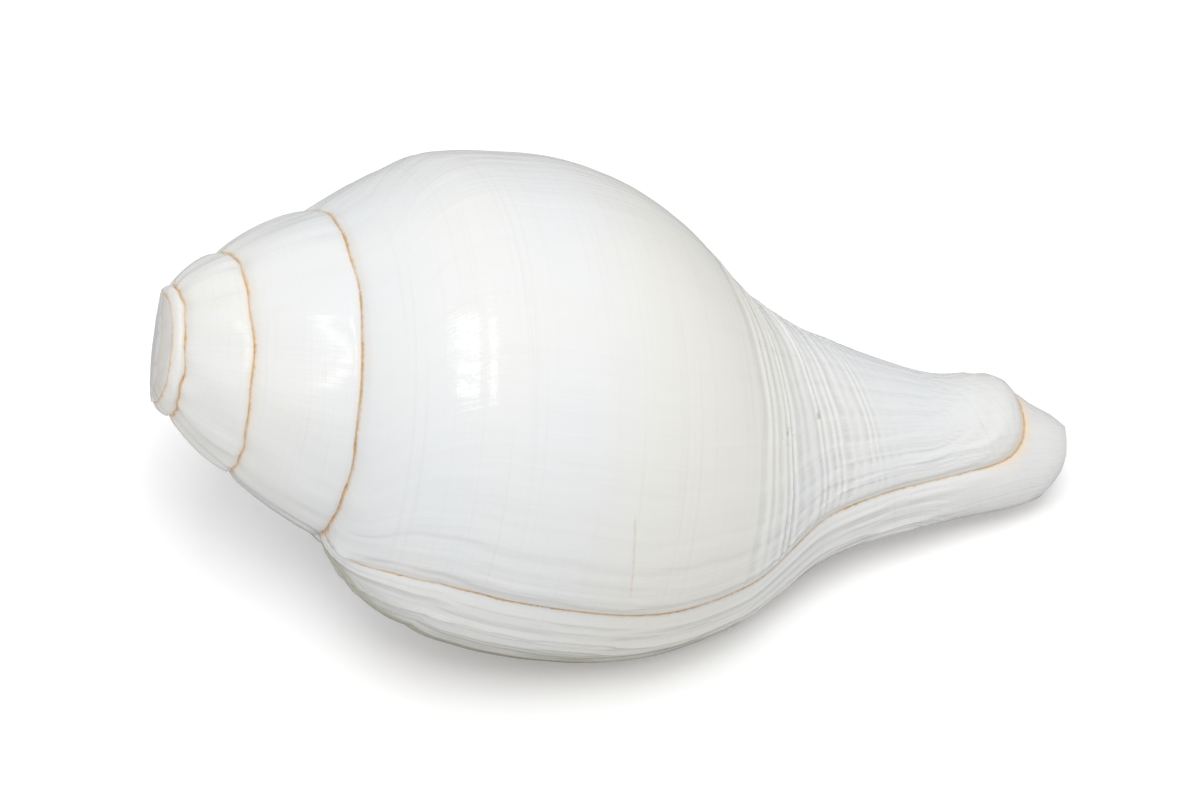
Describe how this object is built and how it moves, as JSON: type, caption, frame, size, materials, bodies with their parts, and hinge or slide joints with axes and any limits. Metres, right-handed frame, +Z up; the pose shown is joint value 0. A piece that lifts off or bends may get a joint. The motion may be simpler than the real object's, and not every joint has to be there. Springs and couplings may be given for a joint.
{
  "type": "conch shell",
  "caption": "Polished white conch shell with a globose body whorl, a low spire ground flat at the apex, a long siphonal canal and an open aperture, lying on its aperture.",
  "frame": {"origin": "on the floor, under the middle of the shell's box as it lies on its aperture", "axes": "+X along the coiling axis as seen from above, from the ground apex to the siphonal canal; +Z up; -Y towards the side with the free outer lip"},
  "size_m": [0.148, 0.0744, 0.0683],
  "materials": {
    "shell": "polished porcelain white, with amber lines along the sutures and the growth seam and a peach tint at the canal and the spire"
  },
  "bodies": {
    "root": {"shell": "shell"}
  },
  "joints": []
}
